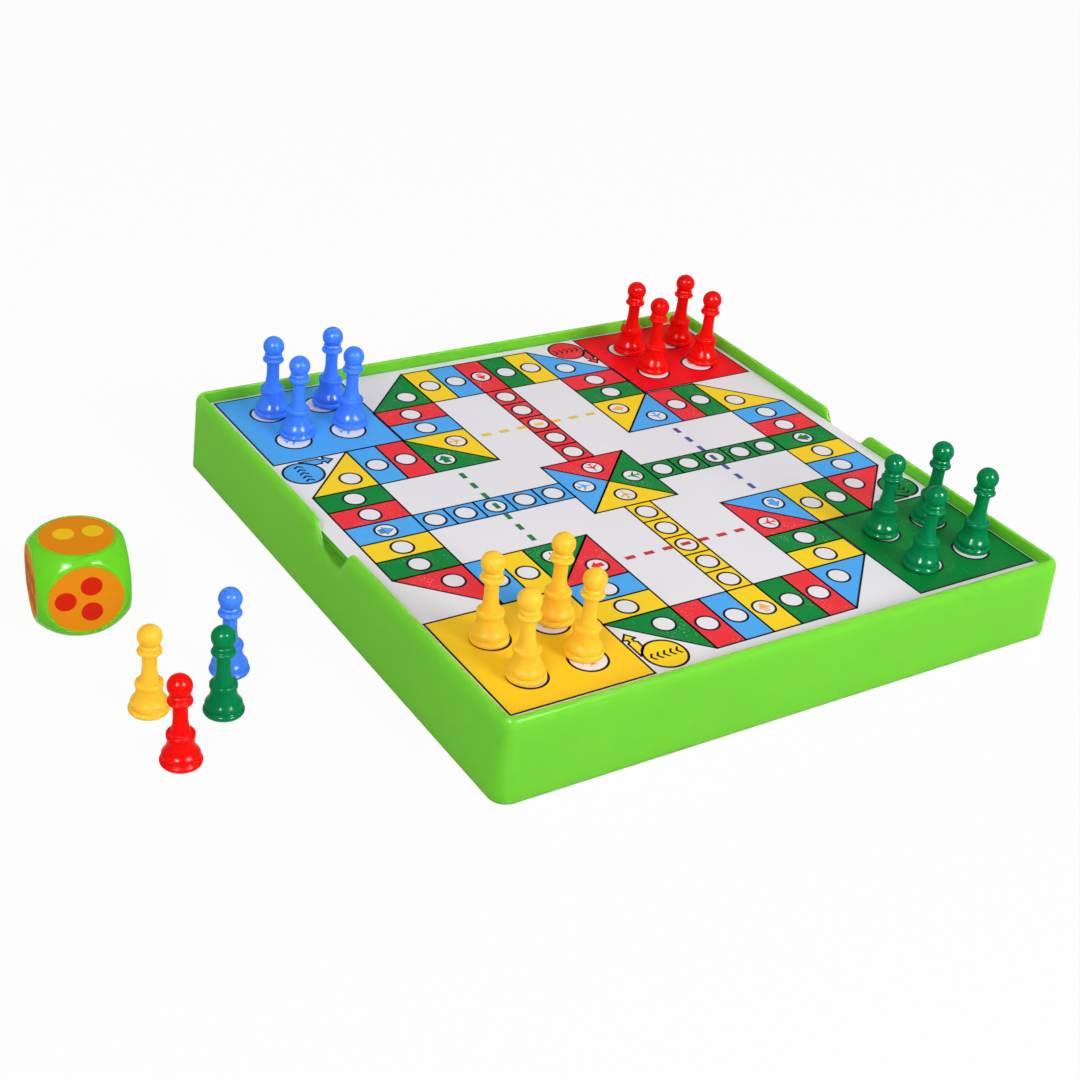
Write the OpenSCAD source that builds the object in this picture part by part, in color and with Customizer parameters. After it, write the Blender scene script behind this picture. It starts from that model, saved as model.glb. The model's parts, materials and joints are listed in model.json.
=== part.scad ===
// Ludo set: a moulded casing open underneath, a playing board that lifts out of its recess,
// twenty pawns and a die. The spare pawns and the die stand on the table beside the casing.
// Millimetres, +Z up, origin under the middle of the casing at table level.

/* [Casing] */
// Outside width of the casing at its rim, both ways
casing_w = 211.3; // [170:0.1:300]
// Height of the rim above the table
casing_h = 27.7; // [24:0.1:50]
// How far each wall leans out between its rim and its foot
wall_flare = 1; // [0:0.1:2.5]
// Thickness of the walls
wall_t = 2.6; // [2.5:0.1:3.6]
// Radius of the rim's outer edge
rim_outer_r = 1.2; // [0.6:0.1:1.2]
// Radius of the rim's inner edge
rim_inner_r = 0.8; // [0.3:0.1:0.8]
// Outer corner radius at the rim
corner_r = 4.6; // [4:0.1:12]
// Depth of the recess, from the top of the rim to the deck
recess_depth = 6.3; // [4:0.1:9]
// Thickness of the deck that carries the board
deck_t = 2.2; // [1.4:0.1:4]

/* [Underside] */
// Thickness of the two ribs that cross under the deck
rib_t = 2; // [1.2:0.1:4]

/* [Finger notches] */
// Width of a notch at the rim, before its top corners are rounded
notch_w = 24; // [20:0.1:60]
// Width of a notch at its floor, before its lower corners are rounded
notch_floor_w = 10.6; // [10:0.1:16]
// Depth of a notch below the rim
notch_depth = 9.5; // [8:0.1:14]
// Radius where the sides of a notch turn into the rim
notch_top_r = 3.6; // [0.5:0.1:4]
// Radius where the sides of a notch turn into its floor
notch_floor_r = 7; // [2:0.1:7]
// How far the scoop behind a notch reaches in under the board
scoop_reach = 7; // [4:0.1:20]
// Thickness of the scoop's shell
scoop_t = 1.8; // [1:0.1:3]

/* [Playing board] */
// Thickness of the board
board_t = 2; // [1:0.1:3]
// Thickness of the printed sheet on the board
sheet_t = 0.3; // [0.1:0.05:0.6]
// Gap between the board and the walls of the recess
board_gap = 0.3; // [0.1:0.05:1]
// Corner radius of the board
board_corner_r = 3; // [2:0.1:12]
// Shift of the print from the middle of the board
print_shift = [0.5, 2.2];
// From the edge of the board in to the middle of a hangar
hangar_inset = 27.1; // [20:0.1:40]
// Distance between the four discs of a hangar
disc_pitch = 20.5; // [14:0.1:26]

/* [Pawns] */
// Height of a pawn
pawn_h = 29.3; // [27.5:0.1:40]
// Radius of the ring at the foot
ring_r = 6.05; // [5.7:0.05:7]
// Half the thickness of that ring, which is also its edge radius
ring_round = 0.95; // [0.6:0.05:1.2]
// Radius of the bell above the ring
bell_r = 5.6; // [5:0.05:5.65]
// Height where the bell's shoulder begins
bell_z = 2.9; // [2.4:0.1:3.6]
// Radius of the bell's shoulder
bell_round = 1.8; // [1:0.1:2.4]
// Radius of the hollow flank between shoulder and waist
flank_round = 6; // [4.5:0.1:12]
// Radius of the waist, right under the band
waist_r = 3.8; // [3.2:0.05:3.9]
// Radius of the band
band_r = 4.1; // [4:0.05:5]
// Edge radius of the band
band_round = 0.7; // [0.5:0.05:0.8]
// Height of the middle of the band's lower edge
band_low = 9.05; // [8.8:0.05:9.3]
// Height of the middle of the band's upper edge
band_high = 9.75; // [9.4:0.05:10.4]
// Radius of the stem where it leaves the band
stem_foot_r = 2.9; // [2.6:0.05:3.2]
// Radius of the slim part of the stem
stem_r = 2.1; // [1.6:0.05:2.2]
// Height where the slim part begins
stem_z = 16; // [14:0.1:18]
// Radius of the collar
collar_r = 3.6; // [3:0.05:4.5]
// Height of the middle of the collar
collar_z = 20.9; // [20.5:0.1:21.2]
// Half the thickness of the collar, which is also its edge radius
collar_round = 0.7; // [0.5:0.05:0.9]
// Radius of the bead between collar and ball
bead_r = 3; // [2.8:0.05:3.4]
// Height of the middle of the bead
bead_z = 22.5; // [22.2:0.1:23]
// Half the thickness of the bead, which is also its edge radius
bead_round = 0.75; // [0.5:0.05:0.8]
// Radius of the ball
ball_r = 3.55; // [3.2:0.05:4.2]

/* [Die] */
// Width of the die across its flats
die_w = 28; // [24:0.1:40]
// Diameter of the ball that rounds the die's corners
die_ball_d = 36.8; // [35:0.1:38]
// Diameter of a sticker
sticker_d = 22.4; // [10:0.1:22.6]
// Thickness of a sticker, which is also the depth of its seat
sticker_t = 0.2; // [0.1:0.05:0.5]
// Gap around a sticker in its seat
sticker_gap = 0.1; // [0.05:0.05:0.3]
// Turn of the die on the table, degrees
die_turn = -10; // [-180:1:180]

/* [Places] */
// From the foot of the casing's left wall out to the middle of the die
die_out = 68.1; // [30:0.1:120]
// Place of the die along that wall
die_y = 29; // [-80:0.1:80]
// From the foot of the left wall out to each spare pawn: yellow, blue, red, green
spare_out = [67.4, 39, 68.5, 48.6];
// Place of each spare pawn along that wall
spare_y = [-25.4, -17, -51.4, -34.8];

/* [Hidden] */
$fn = 96;
// Overlap that joins solids of one moulding, and by which cuts run past a face
over = 1;

colours = ["yellow", "blue", "red", "green"];
paints = ["gold", "cornflowerblue", "red", "seagreen"];
// Corner of the board that each colour holds, and the four discs in it
hangar_sides = [[-1, -1], [-1, 1], [1, 1], [1, -1]];
disc_sides = [[-1, 1], [-1, -1], [1, 1], [1, -1]];
// How far each pawn was put down from the middle of its disc
pawn_shift = [
  [[-1.4, 0], [-1.1, 0.3], [2.4, 1], [0.3, 3.1]],
  [[1.8, -0.1], [3.1, 3], [3.4, -0.3], [3.1, 3.7]],
  [[0.7, -1.5], [0.1, 1.7], [3.5, -1.3], [2.5, 1]],
  [[0, 1.4], [-2.1, -0.1], [0.9, 1.6], [1.9, 1.9]],
];

// Casing levels and widths
wall_mid = wall_t / 2;
corner_c = casing_w / 2 - corner_r;
recess_half = casing_w / 2 - wall_t;
foot_half = casing_w / 2 + wall_flare;
deck_top = casing_h - recess_depth;
deck_bottom = deck_top - deck_t;
// Notch: how far above the rim the arcs of its top corners end
notch_crest = 0.1;
notch_floor = casing_h - notch_depth;
// Scoop: an arc that starts level at the notch and rises to the deck under the board
scoop_drop = deck_top - notch_floor;
scoop_r = (scoop_reach * scoop_reach + scoop_drop * scoop_drop) / (2 * scoop_drop);
// Board
board_half = recess_half - board_gap;
print_top = deck_top + board_t + sheet_t;
hangar_reach = board_half - hangar_inset;
// Pawn: the flare of the stem is an arc that ends upright where the slim part begins
ball_z = pawn_h - ball_r;
waist_z = band_low - band_round;
band_top = band_high + band_round;
flare_out = stem_foot_r - stem_r;
flare_rise = stem_z - band_top;
flare_round = (flare_out * flare_out + flare_rise * flare_rise) / (2 * flare_out);
// Turns that bring the top of the die to each face, counted in pips from one to six
die_faces = [[0, 90, 0], [0, 0, 0], [90, 0, 0], [-90, 0, 0], [180, 0, 0], [0, -90, 0]];

function unit(v) = v / norm(v);

// Centre of the circle of radius r that touches both legs of the corner a, b, c
function corner_centre(a, b, c, r) =
  let (u = unit(a - b), v = unit(c - b))
  b + unit(u + v) * r / sqrt((1 - u * v) / 2);

// Point where that circle touches the leg from b towards a
function touch_point(a, b, c, r) =
  let (u = unit(a - b), v = unit(c - b))
  b + u * r * sqrt((1 + u * v) / (1 - u * v));

// Point at the distances r from p and s from the higher point q, on the side away from the axis
function meet(p, q, r, s) =
  let (chord = q - p, d = norm(chord), ahead = (r * r - s * s + d * d) / (2 * d))
  p + (chord * ahead + [chord[1], -chord[0]] * sqrt(r * r - ahead * ahead)) / d;

function disc_place(h, d) =
  print_shift + hangar_sides[h] * hangar_reach + disc_sides[d] * disc_pitch / 2;

// Square of width w whose corners are round
module rounded_square(w, r) {
  square([w, w - 2 * r], center = true);
  square([w - 2 * r, w], center = true);
  for (x = [-1, 1]) for (y = [-1, 1]) translate([x, y] * (w / 2 - r)) circle(r);
}

// What is cut off a corner at the origin, whose legs run left and down, to round it
module corner_waste(r) {
  translate([-r, -r]) difference() {
    square(r + over);
    circle(r);
  }
}

// Cross-section of a wall, outwards from the corner's centre: leaning sides and a rounded rim
module wall_section() {
  difference() {
    polygon([
      [corner_r + wall_flare, 0],
      [corner_r, casing_h - rim_outer_r],
      [corner_r, casing_h],
      [corner_r - wall_t, casing_h],
      [corner_r - wall_t, deck_bottom],
      [corner_r - wall_t + wall_flare, 0],
    ]);
    translate([corner_r, casing_h]) corner_waste(rim_outer_r);
    translate([corner_r - wall_t, casing_h]) mirror([1, 0]) corner_waste(rim_inner_r);
  }
}

module walls() {
  for (i = [0:3]) rotate(90 * i) {
    translate([corner_c, 0]) rotate([90, 0, 0])
      linear_extrude(2 * corner_c, center = true) wall_section();
    translate([corner_c, corner_c]) rotate_extrude(angle = 90) wall_section();
  }
}

// Deck, with the two crossing ribs that hold it up from the table
module deck() {
  deck_w = 2 * recess_half + wall_t;
  translate([0, 0, deck_bottom]) linear_extrude(deck_t)
    rounded_square(deck_w, corner_r - wall_mid);
  for (turn = [0, 90]) rotate(turn) translate([-deck_w / 2, -rib_t / 2, 0])
    cube([deck_w, rib_t, deck_bottom + deck_t / 2]);
}

// Outline of a notch seen along the wall's normal, grown by g: sloping sides and a round floor
module notch_outline(g) {
  low = [notch_floor_w / 2, notch_floor];
  high = [notch_w / 2, casing_h];
  slope = (high - low) / (casing_h - notch_floor);
  side_g = g * norm(slope);
  foot = low - slope * g + [side_g, 0];
  top = high + slope * over + [side_g, 0];
  away = [-foot[0], foot[1]];
  r = notch_floor_r + g;
  middle = corner_centre(away, foot, top, r);
  touch_floor = touch_point(away, foot, top, r);
  touch_side = touch_point(top, foot, away, r);
  polygon([
    touch_floor, touch_side, top,
    [-top[0], top[1]], [-touch_side[0], touch_side[1]], [-touch_floor[0], touch_floor[1]],
  ]);
  for (s = [-1, 1]) translate([s * middle[0], middle[1]]) circle(r);
}

// What rounds the two corners where a notch breaks through the rim. The arcs would end just above
// the rim, so that they meet its top at a slight angle.
module notch_top_corners() {
  low = [notch_floor_w / 2, notch_floor];
  high = [notch_w / 2, casing_h];
  corner = high + (high - low) * notch_crest / notch_depth;
  along = corner + [casing_w, 0];
  centre = corner_centre(low, corner, along, notch_top_r);
  for (s = [0, 1]) mirror([s, 0]) difference() {
    polygon([
      corner + [-notch_top_r, over], corner,
      touch_point(low, corner, along, notch_top_r), centre,
      touch_point(along, corner, low, notch_top_r),
      [touch_point(along, corner, low, notch_top_r)[0], casing_h + over],
    ]);
    translate(centre) circle(notch_top_r);
  }
}

// Solid along the right-hand wall with a notch-shaped section, from x0 to x1
module along_wall(x0, x1) {
  translate([x0, 0, 0]) rotate([90, 0, 90]) linear_extrude(x1 - x0) children();
}

// Round bar along the wall that shapes the floor of a scoop, grown by g
module scoop_bar(g) {
  translate([recess_half, 0, notch_floor + scoop_r]) rotate([90, 0, 0])
    cylinder(r = scoop_r + g, h = 2 * notch_w, center = true);
}

// Shell under the deck that closes the scoop
module scoop_shell() {
  intersection() {
    along_wall(recess_half - scoop_reach - scoop_r, recess_half + wall_mid) notch_outline(scoop_t);
    scoop_bar(scoop_t);
    translate([recess_half - scoop_reach - scoop_r, -notch_w, 0])
      cube([scoop_reach + scoop_r + wall_mid, 2 * notch_w, deck_top]);
  }
}

// Everything that is cut away for one notch and its scoop
module notch_cut() {
  along_wall(recess_half - over, foot_half + over) {
    notch_outline(0);
    notch_top_corners();
  }
  intersection() {
    along_wall(recess_half - scoop_reach - over, recess_half) notch_outline(0);
    scoop_bar(0);
  }
}

module casing() {
  color("limegreen") difference() {
    union() {
      walls();
      deck();
      for (s = [0, 1]) mirror([s, 0]) scoop_shell();
    }
    for (s = [0, 1]) mirror([s, 0]) notch_cut();
  }
}

module board_core() {
  color("forestgreen") translate([0, 0, deck_top])
    linear_extrude(board_t) rounded_square(2 * board_half, board_corner_r);
}

module printed_sheet() {
  color("white") translate([0, 0, deck_top + board_t])
    linear_extrude(sheet_t) rounded_square(2 * board_half, board_corner_r);
}

// Half section of a disc with a full-round edge, its middle at the height z
module turned_disc(r, z, edge) {
  translate([0, z - edge]) square([r - edge, 2 * edge]);
  translate([r - edge, z]) circle(edge);
}

// Bell from the ring up to the waist: a round shoulder that runs into a hollow flank
module bell_outline() {
  shoulder = [bell_r - bell_round, bell_z];
  waist = [waist_r, waist_z];
  flank = meet(shoulder, waist, bell_round + flank_round, flank_round);
  touch = shoulder + (flank - shoulder) * bell_round / (bell_round + flank_round);
  translate([0, ring_round]) square([bell_r, bell_z - ring_round]);
  translate(shoulder) circle(bell_round);
  difference() {
    polygon([
      [0, ring_round], [shoulder[0], ring_round], shoulder, touch, waist, [0, waist_z],
    ]);
    translate(flank) circle(flank_round);
  }
}

// Stem from the band up to the collar: a hollow flare, then a slim shaft
module stem_outline() {
  difference() {
    polygon([
      [0, band_low], [stem_foot_r, band_low], [stem_foot_r, band_top],
      [stem_r, stem_z], [stem_r, collar_z], [0, collar_z],
    ]);
    translate([stem_r + flare_round, stem_z]) circle(flare_round);
  }
}

// Half outline of a pawn, from its axis outwards
module pawn_outline() {
  neck_r = bead_r - bead_round;
  intersection() {
    translate([0, -over]) square([ring_r + over, pawn_h + 2 * over]);
    union() {
      turned_disc(ring_r, ring_round, ring_round);
      bell_outline();
      translate([0, waist_z]) square([waist_r, band_low - waist_z]);
      turned_disc(band_r, band_low, band_round);
      turned_disc(band_r, band_high, band_round);
      translate([0, band_low]) square([band_r, band_high - band_low]);
      stem_outline();
      turned_disc(collar_r, collar_z, collar_round);
      polygon([
        [0, collar_z], [collar_r - collar_round, collar_z],
        [collar_r - collar_round, collar_z + collar_round], [neck_r, bead_z], [0, bead_z],
      ]);
      turned_disc(bead_r, bead_z, bead_round);
      translate([0, bead_z]) square([neck_r, ball_z - bead_z]);
      translate([0, ball_z]) circle(ball_r);
    }
  }
}

module pawn(paint, place) {
  color(paint) translate(place) rotate_extrude() pawn_outline();
}

// Puts a child that is made about the die's middle where the die lies
module on_die() {
  translate([-foot_half - die_out, die_y, die_w / 2]) rotate(die_turn) children();
}

// Puts a child that stands on top of the die onto the face with that many pips
module on_face(pips) {
  rotate(die_faces[pips - 1]) translate([0, 0, die_w / 2]) children();
}

module die_body() {
  color("limegreen") on_die() difference() {
    intersection() {
      cube(die_w, center = true);
      sphere(d = die_ball_d);
    }
    for (pips = [1:6]) on_face(pips) translate([0, 0, -sticker_t])
      cylinder(d = sticker_d + 2 * sticker_gap, h = sticker_t + over);
  }
}

module die_sticker(pips) {
  color("darkorange") on_die() on_face(pips) translate([0, 0, -sticker_t])
    cylinder(d = sticker_d, h = sticker_t);
}

casing();
board_core();
printed_sheet();
for (c = [0:3]) for (i = [0:3])
  pawn(paints[c], concat(disc_place(c, i) + pawn_shift[c][i], print_top));
for (c = [0:3])
  pawn(paints[c], [-foot_half - spare_out[c], spare_y[c], 0]);
die_body();
for (i = [1:6])
  die_sticker(i);
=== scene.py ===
# %% [markdown]
# # Dressing a ludo set
# This lesson dresses a travel ludo set: a green moulded casing, a printed board lying in its recess,
# twenty turned pawns and a big die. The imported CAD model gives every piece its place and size. Each new
# piece is a surface worked out with numpy as whole arrays, in metres, in the model's own frame.

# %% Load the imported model
import json

import bpy
import numpy as np
from mathutils import Matrix, Vector

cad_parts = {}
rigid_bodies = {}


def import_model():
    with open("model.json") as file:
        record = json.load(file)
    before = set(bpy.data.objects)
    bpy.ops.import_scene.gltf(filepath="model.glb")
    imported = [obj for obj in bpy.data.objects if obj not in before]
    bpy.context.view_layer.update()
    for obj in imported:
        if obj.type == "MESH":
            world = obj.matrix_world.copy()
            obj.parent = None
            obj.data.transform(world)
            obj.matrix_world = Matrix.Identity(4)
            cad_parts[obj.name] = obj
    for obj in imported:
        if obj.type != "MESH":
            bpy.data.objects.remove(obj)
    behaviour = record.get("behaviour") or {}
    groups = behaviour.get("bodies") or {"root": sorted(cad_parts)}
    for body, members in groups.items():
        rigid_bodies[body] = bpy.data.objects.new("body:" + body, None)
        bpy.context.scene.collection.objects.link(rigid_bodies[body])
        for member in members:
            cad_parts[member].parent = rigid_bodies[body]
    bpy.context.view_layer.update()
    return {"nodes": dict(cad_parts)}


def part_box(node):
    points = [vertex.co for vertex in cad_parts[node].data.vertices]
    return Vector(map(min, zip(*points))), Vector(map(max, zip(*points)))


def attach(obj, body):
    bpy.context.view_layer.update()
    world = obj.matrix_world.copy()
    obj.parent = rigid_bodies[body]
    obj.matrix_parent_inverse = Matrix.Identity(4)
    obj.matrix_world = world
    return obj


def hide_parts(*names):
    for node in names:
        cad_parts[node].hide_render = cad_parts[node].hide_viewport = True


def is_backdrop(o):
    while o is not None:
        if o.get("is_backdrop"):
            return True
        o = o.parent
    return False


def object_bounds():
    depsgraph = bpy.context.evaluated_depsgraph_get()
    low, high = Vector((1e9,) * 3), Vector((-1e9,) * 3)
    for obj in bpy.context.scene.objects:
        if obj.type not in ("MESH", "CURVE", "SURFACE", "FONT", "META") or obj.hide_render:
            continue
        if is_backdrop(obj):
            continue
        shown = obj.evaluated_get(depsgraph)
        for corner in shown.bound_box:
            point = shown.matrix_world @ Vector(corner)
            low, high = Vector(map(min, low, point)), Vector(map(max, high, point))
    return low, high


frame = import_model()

scene = bpy.context.scene
mm = 0.001

# %% [markdown]
# ## Lofts and pieces
# Most things here are closed rings of points stacked into a skin: a turned pawn, a moulded wall, a die.
# One helper joins the rings with quads and closes each end with a fan of triangles to a single pole, so no
# seam or hole is left. Rings run counter-clockwise seen from above and start underneath, which turns the
# faces outwards.


# %% Helpers for lofted skins
def loft(rings, first_pole, last_pole):
    """Skin over rings of points (rows, columns, 3): each point joins its right and upper neighbours in a
    quad, and the first and last rings close on a pole each. Returns the points and a list of faces."""
    rows, columns, _ = rings.shape
    row = np.arange(rows - 1)[:, None] * columns
    here = np.arange(columns)
    ahead = (here + 1) % columns
    corners = (row + here, row + ahead, row + columns + ahead, row + columns + here)
    quads = np.stack(corners, -1).reshape(-1, 4)
    low, high = rows * columns, rows * columns + 1
    first = np.stack((np.full(columns, low), ahead, here), -1)
    last = np.stack((np.full(columns, high), here + low - columns, ahead + low - columns), -1)
    points = np.concatenate((rings.reshape(-1, 3), [first_pole, last_pole]))
    return points, [quads, first, last]


def add_piece(name, parts, material, body):
    """Mesh object made of (points, face arrays) parts. It sits at the origin and rides on a body."""
    faces = []
    start = 0
    for points, blocks in parts:
        for block in blocks:
            faces += (block + start).tolist()
        start += len(points)
    mesh = bpy.data.meshes.new(name)
    mesh.from_pydata(np.concatenate([points for points, _ in parts]), [], faces)
    mesh.shade_smooth()
    mesh.materials.append(material)
    piece = bpy.data.objects.new(name, mesh)
    scene.collection.objects.link(piece)
    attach(piece, body)
    return piece


# %% [markdown]
# ## Camera
# The photograph is taken from the front left and from above with a short telephoto lens. The camera's place
# and its three axes were solved from the squares of the print and the walls of the casing, so they are
# simply set here.

# %% Camera
camera_data = bpy.data.cameras.new("camera")
camera_data.sensor_width = 36
camera_data.lens = 61.14
camera_place = Vector((-0.33216, -0.42873, 0.31746))
camera_right = Vector((0.84244, -0.52987, 0.09764))
camera_up = Vector((0.20002, 0.47584, 0.85649))
camera_back = camera_right.cross(camera_up).normalized()
camera_up = camera_back.cross(camera_right).normalized()
camera = bpy.data.objects.new("camera", camera_data)
camera_axes = Matrix((camera_right.normalized(), camera_up, camera_back)).transposed()
camera.matrix_world = Matrix.Translation(camera_place) @ camera_axes.to_4x4()
scene.collection.objects.link(camera)
scene.camera = camera
print("Camera looks down by", round(np.degrees(np.arcsin(camera_back.z)), 1), "degrees")

# %% [markdown]
# ## Materials
# The casing, the pawns and the die are injection moulded: one colour right through, a gloss that is never
# quite even, a faint ripple from the mould, and small pale nicks from handling. All of that is noise on
# Object coordinates. Whatever is the same all over is set on the shader's own socket, so that it survives
# an export.


# %% Helpers for materials
# A noise pattern stays mostly between these two values
noise_low, noise_high = 0.3, 0.7


def new_material(name):
    """Empty node material. Returns it with its tree, its shader and the Object coordinates socket."""
    material = bpy.data.materials.new(name)
    material.use_nodes = True
    tree = material.node_tree
    shader = tree.nodes["Principled BSDF"]
    coordinates = tree.nodes.new("ShaderNodeTexCoord").outputs["Object"]
    return material, tree, shader, coordinates


def noise(tree, coordinates, scale, detail=2.0):
    """Value of a noise pattern with that many features to the metre."""
    texture = tree.nodes.new("ShaderNodeTexNoise")
    texture.inputs["Scale"].default_value = scale
    texture.inputs["Detail"].default_value = detail
    tree.links.new(coordinates, texture.inputs["Vector"])
    return texture.outputs["Fac"]


def remap(tree, value, low, high, to_low, to_high):
    """Straight change of scale: low becomes to_low and high becomes to_high, and nothing goes beyond."""
    node = tree.nodes.new("ShaderNodeMapRange")
    for socket, number in zip(node.inputs[1:5], (low, high, to_low, to_high)):
        socket.default_value = number
    tree.links.new(value, node.inputs[0])
    return node.outputs[0]


def mix_colours(tree, factor, first, second):
    """First colour where the factor is 0, second where it is 1. Either may be a socket."""
    node = tree.nodes.new("ShaderNodeMix")
    node.data_type = "RGBA"
    tree.links.new(factor, node.inputs["Factor"])
    for socket, colour in ((node.inputs["A"], first), (node.inputs["B"], second)):
        if isinstance(colour, bpy.types.NodeSocket):
            tree.links.new(colour, socket)
        else:
            socket.default_value = (*colour, 1.0)
    return node.outputs["Result"]


def multiply(tree, first, second):
    """Product of two values."""
    node = tree.nodes.new("ShaderNodeMath")
    node.operation = "MULTIPLY"
    tree.links.new(first, node.inputs[0])
    tree.links.new(second, node.inputs[1])
    return node.outputs[0]


def nicks(tree, coordinates, per_metre, size, share):
    """Sparse round specks: in a Voronoi pattern of cells, a soft dot at the middle of those cells whose
    random value falls in the given share."""
    dot_core = 0.4
    share_step = 0.01
    cells = tree.nodes.new("ShaderNodeTexVoronoi")
    cells.inputs["Scale"].default_value = per_metre
    tree.links.new(coordinates, cells.inputs["Vector"])
    split = tree.nodes.new("ShaderNodeSeparateColor")
    tree.links.new(cells.outputs["Color"], split.inputs[0])
    dot = remap(tree, cells.outputs["Distance"], size * per_metre, dot_core * size * per_metre, 0.0, 1.0)
    chosen = remap(tree, split.outputs[0], share, share - share_step, 0.0, 1.0)
    return multiply(tree, dot, chosen)


def add_bump(tree, shader, height, distance):
    """Bump of that height in metres on the shader's normal."""
    bump = tree.nodes.new("ShaderNodeBump")
    bump.inputs["Distance"].default_value = distance
    tree.links.new(height, bump.inputs["Height"])
    tree.links.new(bump.outputs["Normal"], shader.inputs["Normal"])


# %% Moulded plastic
plastic_shine = 0.016
# Features of the noises and cells of the nicks to the metre
cloud_scale, sheen_scale, ripple_scale, nick_scale = 30.0, 90.0, 120.0, 55.0
cloud_dark, cloud_light = 0.975, 1.02
sheen_below, sheen_above = 0.015, 0.025
ripple_height = 0.02 * mm
nick_size = 0.42 * mm
# A nick keeps this share of the colour and gains this much white
nick_keep, nick_white = 0.45, 0.5


def moulded_plastic(name, colour, gloss, glow, glow_radius, nick_share, shine=plastic_shine):
    """Moulded plastic of one colour. Gloss is its roughness and shine the strength of its reflection. Glow
    is how much light wanders inside it, each colour of light to its own radius in millimetres."""
    material, tree, shader, coordinates = new_material(name)
    colour = np.array(colour)
    cloud = remap(tree, noise(tree, coordinates, cloud_scale), noise_low, noise_high, 0.0, 1.0)
    paint = mix_colours(tree, cloud, colour * cloud_dark, np.minimum(colour * cloud_light, 1.0))
    pale = colour * nick_keep + nick_white
    paint = mix_colours(tree, nicks(tree, coordinates, nick_scale, nick_size, nick_share), paint, pale)
    tree.links.new(paint, shader.inputs["Base Color"])
    uneven = noise(tree, coordinates, sheen_scale, detail=3.0)
    sheen = remap(tree, uneven, noise_low, noise_high, gloss - sheen_below, gloss + sheen_above)
    tree.links.new(sheen, shader.inputs["Roughness"])
    add_bump(tree, shader, noise(tree, coordinates, ripple_scale, detail=1.0), ripple_height)
    shader.inputs["Specular IOR Level"].default_value = shine
    shader.inputs["Subsurface Weight"].default_value = glow
    shader.inputs["Subsurface Radius"].default_value = glow_radius
    shader.inputs["Subsurface Scale"].default_value = mm
    return material


# Gloss, glow, radius of the glow in mm and share of nicks, and for the duller plastics their own shine
casing_green = moulded_plastic(
    "casing_green", (0.160, 0.555, 0.041), 0.18, 1.0, (7.0, 7.0, 3.5), 0.09, shine=0.008)
board_green = moulded_plastic(
    "board_green", (0.080, 0.450, 0.012), 0.30, 0.2, (1.2, 1.5, 0.4), 0.05, shine=0.005)
die_green = moulded_plastic(
    "die_green", (0.140, 0.600, 0.020), 0.14, 0.2, (1.2, 3.0, 0.4), 0.02)
pawn_plastics = {
    "yellow": moulded_plastic(
        "pawn_yellow", (1.0, 0.535, 0.040), 0.25, 0.5, (2.5, 1.5, 0.4), 0.02, shine=0.006),
    "blue": moulded_plastic(
        "pawn_blue", (0.060, 0.235, 1.0), 0.14, 0.25, (0.4, 0.8, 2.0), 0.02),
    "red": moulded_plastic(
        "pawn_red", (0.840, 0.006, 0.004), 0.14, 0.25, (2.0, 0.2, 0.2), 0.02),
    "green": moulded_plastic(
        "pawn_green", (0.002, 0.210, 0.066), 0.14, 0.10, (0.2, 1.0, 0.5), 0.02),
}
print("Plastics:", ["casing_green", "board_green", "die_green", *pawn_plastics])

# %% [markdown]
# ## Paper and ink
# The sheet on the board is coated paper, printed with four flat colours and black. Its faint gloss pales
# the colours where they are seen at a flat angle. Up close the solid colours hold tiny white specks where
# the ink didn't take, denser in some places than in others. The big hangars have deeper colours than the
# cells of the track, and the small marks and the dashed lines have tints of their own.


# %% Paper and inks
paper_shine = 0.04
paper_smooth, paper_rough = 0.42, 0.52
# Features of the noises to the metre, and the values between which specks come in
tint_scale, patch_scale, speck_scale, grain_scale = 30.0, 90.0, 2000.0, 300.0
tint_dark, tint_light = 0.96, 1.04
patch_from, patch_full = 0.48, 0.68
speck_from, speck_full = 0.64, 0.70
# Bare paper in a speck keeps this share of the colour and gains this much white
bare_keep, bare_white = 0.25, 0.62


def ink(name, colour, speck, shine=paper_shine):
    """Printed colour on coated paper: fine specks of bare paper, thick where a slow noise is high. Speck is
    how much of the paper shows in them."""
    material, tree, shader, coordinates = new_material(name)
    colour = np.array(colour)
    bare = colour * bare_keep + bare_white
    slow = noise(tree, coordinates, patch_scale, detail=3.0)
    patchy = remap(tree, slow, patch_from, patch_full, 0.0, speck)
    quick = noise(tree, coordinates, speck_scale, detail=1.0)
    fine = remap(tree, quick, speck_from, speck_full, 0.0, 1.0)
    light = np.minimum(colour * tint_light, 1.0)
    printed = mix_colours(tree, noise(tree, coordinates, tint_scale), colour * tint_dark, light)
    paint = mix_colours(tree, multiply(tree, fine, patchy), printed, bare)
    tree.links.new(paint, shader.inputs["Base Color"])
    grain = noise(tree, coordinates, grain_scale, detail=3.0)
    sheen = remap(tree, grain, noise_low, noise_high, paper_smooth, paper_rough)
    tree.links.new(sheen, shader.inputs["Roughness"])
    shader.inputs["Specular IOR Level"].default_value = shine
    return material


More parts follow.
